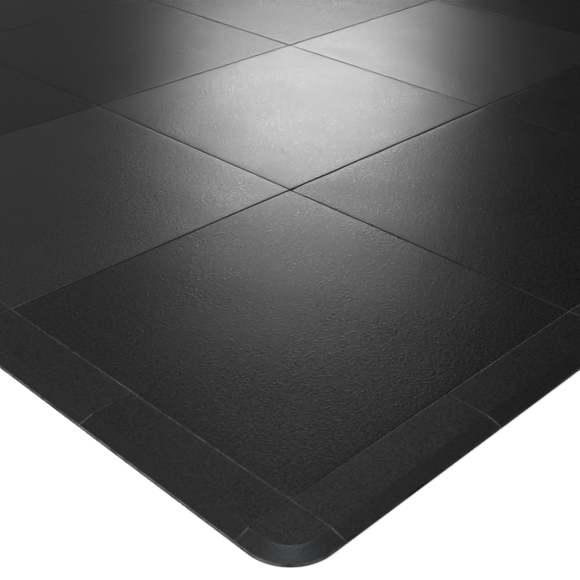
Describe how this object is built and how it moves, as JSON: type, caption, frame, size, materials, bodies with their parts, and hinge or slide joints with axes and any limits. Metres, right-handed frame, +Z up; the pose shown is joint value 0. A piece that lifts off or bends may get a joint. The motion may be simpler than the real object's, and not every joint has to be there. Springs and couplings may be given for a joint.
{
  "type": "anti fatigue mat",
  "caption": "Square modular cushioned floor mat of plain tiles with straight seams, framed by bevelled ramps and rounded corner ramps over hidden joining plates.",
  "frame": {"origin": "on the floor under the mat's centre", "axes": "+Z up out of the walking surface; the seams run along X and Y, and the pictured corner is the one at -X -Y"},
  "size_m": [3.9306, 3.9306, 0.0159],
  "materials": {
    "tile_rubber": "satin",
    "ramp_rubber": "matte",
    "plate_plastic": "matte"
  },
  "bodies": {
    "joining_plates": {"joining_plates": "plate_plastic"},
    "corner_back_left": {"corner_back_left": "ramp_rubber"},
    "corner_back_right": {"corner_back_right": "ramp_rubber"},
    "corner_front_left": {"corner_front_left": "ramp_rubber"},
    "corner_front_right": {"corner_front_right": "ramp_rubber"},
    "ramp_back_1": {"ramp_back_1": "ramp_rubber"},
    "ramp_back_2": {"ramp_back_2": "ramp_rubber"},
    "ramp_back_3": {"ramp_back_3": "ramp_rubber"},
    "ramp_back_4": {"ramp_back_4": "ramp_rubber"},
    "ramp_back_5": {"ramp_back_5": "ramp_rubber"},
    "ramp_back_6": {"ramp_back_6": "ramp_rubber"},
    "ramp_back_7": {"ramp_back_7": "ramp_rubber"},
    "ramp_back_8": {"ramp_back_8": "ramp_rubber"},
    "ramp_front_1": {"ramp_front_1": "ramp_rubber"},
    "ramp_front_2": {"ramp_front_2": "ramp_rubber"},
    "ramp_front_3": {"ramp_front_3": "ramp_rubber"},
    "ramp_front_4": {"ramp_front_4": "ramp_rubber"},
    "ramp_front_5": {"ramp_front_5": "ramp_rubber"},
    "ramp_front_6": {"ramp_front_6": "ramp_rubber"},
    "ramp_front_7": {"ramp_front_7": "ramp_rubber"},
    "ramp_front_8": {"ramp_front_8": "ramp_rubber"},
    "ramp_left_1": {"ramp_left_1": "ramp_rubber"},
    "ramp_left_2": {"ramp_left_2": "ramp_rubber"},
    "ramp_left_3": {"ramp_left_3": "ramp_rubber"},
    "ramp_left_4": {"ramp_left_4": "ramp_rubber"},
    "ramp_left_5": {"ramp_left_5": "ramp_rubber"},
    "ramp_left_6": {"ramp_left_6": "ramp_rubber"},
    "ramp_left_7": {"ramp_left_7": "ramp_rubber"},
    "ramp_left_8": {"ramp_left_8": "ramp_rubber"},
    "ramp_right_1": {"ramp_right_1": "ramp_rubber"},
    "ramp_right_2": {"ramp_right_2": "ramp_rubber"},
    "ramp_right_3": {"ramp_right_3": "ramp_rubber"},
    "ramp_right_4": {"ramp_right_4": "ramp_rubber"},
    "ramp_right_5": {"ramp_right_5": "ramp_rubber"},
    "ramp_right_6": {"ramp_right_6": "ramp_rubber"},
    "ramp_right_7": {"ramp_right_7": "ramp_rubber"},
    "ramp_right_8": {"ramp_right_8": "ramp_rubber"},
    "tile_row1_col1": {"tile_row1_col1": "tile_rubber"},
    "tile_row1_col2": {"tile_row1_col2": "tile_rubber"},
    "tile_row1_col3": {"tile_row1_col3": "tile_rubber"},
    "tile_row1_col4": {"tile_row1_col4": "tile_rubber"},
    "tile_row2_col1": {"tile_row2_col1": "tile_rubber"},
    "tile_row2_col2": {"tile_row2_col2": "tile_rubber"},
    "tile_row2_col3": {"tile_row2_col3": "tile_rubber"},
    "tile_row2_col4": {"tile_row2_col4": "tile_rubber"},
    "tile_row3_col1": {"tile_row3_col1": "tile_rubber"},
    "tile_row3_col2": {"tile_row3_col2": "tile_rubber"},
    "tile_row3_col3": {"tile_row3_col3": "tile_rubber"},
    "tile_row3_col4": {"tile_row3_col4": "tile_rubber"},
    "tile_row4_col1": {"tile_row4_col1": "tile_rubber"},
    "tile_row4_col2": {"tile_row4_col2": "tile_rubber"},
    "tile_row4_col3": {"tile_row4_col3": "tile_rubber"},
    "tile_row4_col4": {"tile_row4_col4": "tile_rubber"}
  },
  "joints": [
    {"name": "lift_corner_back_left", "type": "slide", "parent": "joining_plates", "child": "corner_back_left", "axis": [0, 0, 1], "range_m": [0, 0.05]},
    {"name": "lift_corner_back_right", "type": "slide", "parent": "joining_plates", "child": "corner_back_right", "axis": [0, 0, 1], "range_m": [0, 0.05]},
    {"name": "lift_corner_front_left", "type": "slide", "parent": "joining_plates", "child": "corner_front_left", "axis": [0, 0, 1], "range_m": [0, 0.05]},
    {"name": "lift_corner_front_right", "type": "slide", "parent": "joining_plates", "child": "corner_front_right", "axis": [0, 0, 1], "range_m": [0, 0.05]},
    {"name": "lift_ramp_back_1", "type": "slide", "parent": "joining_plates", "child": "ramp_back_1", "axis": [0, 0, 1], "range_m": [0, 0.05]},
    {"name": "lift_ramp_back_2", "type": "slide", "parent": "joining_plates", "child": "ramp_back_2", "axis": [0, 0, 1], "range_m": [0, 0.05]},
    {"name": "lift_ramp_back_3", "type": "slide", "parent": "joining_plates", "child": "ramp_back_3", "axis": [0, 0, 1], "range_m": [0, 0.05]},
    {"name": "lift_ramp_back_4", "type": "slide", "parent": "joining_plates", "child": "ramp_back_4", "axis": [0, 0, 1], "range_m": [0, 0.05]},
    {"name": "lift_ramp_back_5", "type": "slide", "parent": "joining_plates", "child": "ramp_back_5", "axis": [0, 0, 1], "range_m": [0, 0.05]},
    {"name": "lift_ramp_back_6", "type": "slide", "parent": "joining_plates", "child": "ramp_back_6", "axis": [0, 0, 1], "range_m": [0, 0.05]},
    {"name": "lift_ramp_back_7", "type": "slide", "parent": "joining_plates", "child": "ramp_back_7", "axis": [0, 0, 1], "range_m": [0, 0.05]},
    {"name": "lift_ramp_back_8", "type": "slide", "parent": "joining_plates", "child": "ramp_back_8", "axis": [0, 0, 1], "range_m": [0, 0.05]},
    {"name": "lift_ramp_front_1", "type": "slide", "parent": "joining_plates", "child": "ramp_front_1", "axis": [0, 0, 1], "range_m": [0, 0.05]},
    {"name": "lift_ramp_front_2", "type": "slide", "parent": "joining_plates", "child": "ramp_front_2", "axis": [0, 0, 1], "range_m": [0, 0.05]},
    {"name": "lift_ramp_front_3", "type": "slide", "parent": "joining_plates", "child": "ramp_front_3", "axis": [0, 0, 1], "range_m": [0, 0.05]},
    {"name": "lift_ramp_front_4", "type": "slide", "parent": "joining_plates", "child": "ramp_front_4", "axis": [0, 0, 1], "range_m": [0, 0.05]},
    {"name": "lift_ramp_front_5", "type": "slide", "parent": "joining_plates", "child": "ramp_front_5", "axis": [0, 0, 1], "range_m": [0, 0.05]},
    {"name": "lift_ramp_front_6", "type": "slide", "parent": "joining_plates", "child": "ramp_front_6", "axis": [0, 0, 1], "range_m": [0, 0.05]},
    {"name": "lift_ramp_front_7", "type": "slide", "parent": "joining_plates", "child": "ramp_front_7", "axis": [0, 0, 1], "range_m": [0, 0.05]},
    {"name": "lift_ramp_front_8", "type": "slide", "parent": "joining_plates", "child": "ramp_front_8", "axis": [0, 0, 1], "range_m": [0, 0.05]},
    {"name": "lift_ramp_left_1", "type": "slide", "parent": "joining_plates", "child": "ramp_left_1", "axis": [0, 0, 1], "range_m": [0, 0.05]},
    {"name": "lift_ramp_left_2", "type": "slide", "parent": "joining_plates", "child": "ramp_left_2", "axis": [0, 0, 1], "range_m": [0, 0.05]},
    {"name": "lift_ramp_left_3", "type": "slide", "parent": "joining_plates", "child": "ramp_left_3", "axis": [0, 0, 1], "range_m": [0, 0.05]},
    {"name": "lift_ramp_left_4", "type": "slide", "parent": "joining_plates", "child": "ramp_left_4", "axis": [0, 0, 1], "range_m": [0, 0.05]},
    {"name": "lift_ramp_left_5", "type": "slide", "parent": "joining_plates", "child": "ramp_left_5", "axis": [0, 0, 1], "range_m": [0, 0.05]},
    {"name": "lift_ramp_left_6", "type": "slide", "parent": "joining_plates", "child": "ramp_left_6", "axis": [0, 0, 1], "range_m": [0, 0.05]},
    {"name": "lift_ramp_left_7", "type": "slide", "parent": "joining_plates", "child": "ramp_left_7", "axis": [0, 0, 1], "range_m": [0, 0.05]},
    {"name": "lift_ramp_left_8", "type": "slide", "parent": "joining_plates", "child": "ramp_left_8", "axis": [0, 0, 1], "range_m": [0, 0.05]},
    {"name": "lift_ramp_right_1", "type": "slide", "parent": "joining_plates", "child": "ramp_right_1", "axis": [0, 0, 1], "range_m": [0, 0.05]},
    {"name": "lift_ramp_right_2", "type": "slide", "parent": "joining_plates", "child": "ramp_right_2", "axis": [0, 0, 1], "range_m": [0, 0.05]},
    {"name": "lift_ramp_right_3", "type": "slide", "parent": "joining_plates", "child": "ramp_right_3", "axis": [0, 0, 1], "range_m": [0, 0.05]},
    {"name": "lift_ramp_right_4", "type": "slide", "parent": "joining_plates", "child": "ramp_right_4", "axis": [0, 0, 1], "range_m": [0, 0.05]},
    {"name": "lift_ramp_right_5", "type": "slide", "parent": "joining_plates", "child": "ramp_right_5", "axis": [0, 0, 1], "range_m": [0, 0.05]},
    {"name": "lift_ramp_right_6", "type": "slide", "parent": "joining_plates", "child": "ramp_right_6", "axis": [0, 0, 1], "range_m": [0, 0.05]},
    {"name": "lift_ramp_right_7", "type": "slide", "parent": "joining_plates", "child": "ramp_right_7", "axis": [0, 0, 1], "range_m": [0, 0.05]},
    {"name": "lift_ramp_right_8", "type": "slide", "parent": "joining_plates", "child": "ramp_right_8", "axis": [0, 0, 1], "range_m": [0, 0.05]},
    {"name": "lift_tile_row1_col1", "type": "slide", "parent": "joining_plates", "child": "tile_row1_col1", "axis": [0, 0, 1], "range_m": [0, 0.05]},
    {"name": "lift_tile_row1_col2", "type": "slide", "parent": "joining_plates", "child": "tile_row1_col2", "axis": [0, 0, 1], "range_m": [0, 0.05]},
    {"name": "lift_tile_row1_col3", "type": "slide", "parent": "joining_plates", "child": "tile_row1_col3", "axis": [0, 0, 1], "range_m": [0, 0.05]},
    {"name": "lift_tile_row1_col4", "type": "slide", "parent": "joining_plates", "child": "tile_row1_col4", "axis": [0, 0, 1], "range_m": [0, 0.05]},
    {"name": "lift_tile_row2_col1", "type": "slide", "parent": "joining_plates", "child": "tile_row2_col1", "axis": [0, 0, 1], "range_m": [0, 0.05]},
    {"name": "lift_tile_row2_col2", "type": "slide", "parent": "joining_plates", "child": "tile_row2_col2", "axis": [0, 0, 1], "range_m": [0, 0.05]},
    {"name": "lift_tile_row2_col3", "type": "slide", "parent": "joining_plates", "child": "tile_row2_col3", "axis": [0, 0, 1], "range_m": [0, 0.05]},
    {"name": "lift_tile_row2_col4", "type": "slide", "parent": "joining_plates", "child": "tile_row2_col4", "axis": [0, 0, 1], "range_m": [0, 0.05]},
    {"name": "lift_tile_row3_col1", "type": "slide", "parent": "joining_plates", "child": "tile_row3_col1", "axis": [0, 0, 1], "range_m": [0, 0.05]},
    {"name": "lift_tile_row3_col2", "type": "slide", "parent": "joining_plates", "child": "tile_row3_col2", "axis": [0, 0, 1], "range_m": [0, 0.05]},
    {"name": "lift_tile_row3_col3", "type": "slide", "parent": "joining_plates", "child": "tile_row3_col3", "axis": [0, 0, 1], "range_m": [0, 0.05]},
    {"name": "lift_tile_row3_col4", "type": "slide", "parent": "joining_plates", "child": "tile_row3_col4", "axis": [0, 0, 1], "range_m": [0, 0.05]},
    {"name": "lift_tile_row4_col1", "type": "slide", "parent": "joining_plates", "child": "tile_row4_col1", "axis": [0, 0, 1], "range_m": [0, 0.05]},
    {"name": "lift_tile_row4_col2", "type": "slide", "parent": "joining_plates", "child": "tile_row4_col2", "axis": [0, 0, 1], "range_m": [0, 0.05]},
    {"name": "lift_tile_row4_col3", "type": "slide", "parent": "joining_plates", "child": "tile_row4_col3", "axis": [0, 0, 1], "range_m": [0, 0.05]},
    {"name": "lift_tile_row4_col4", "type": "slide", "parent": "joining_plates", "child": "tile_row4_col4", "axis": [0, 0, 1], "range_m": [0, 0.05]}
  ]
}
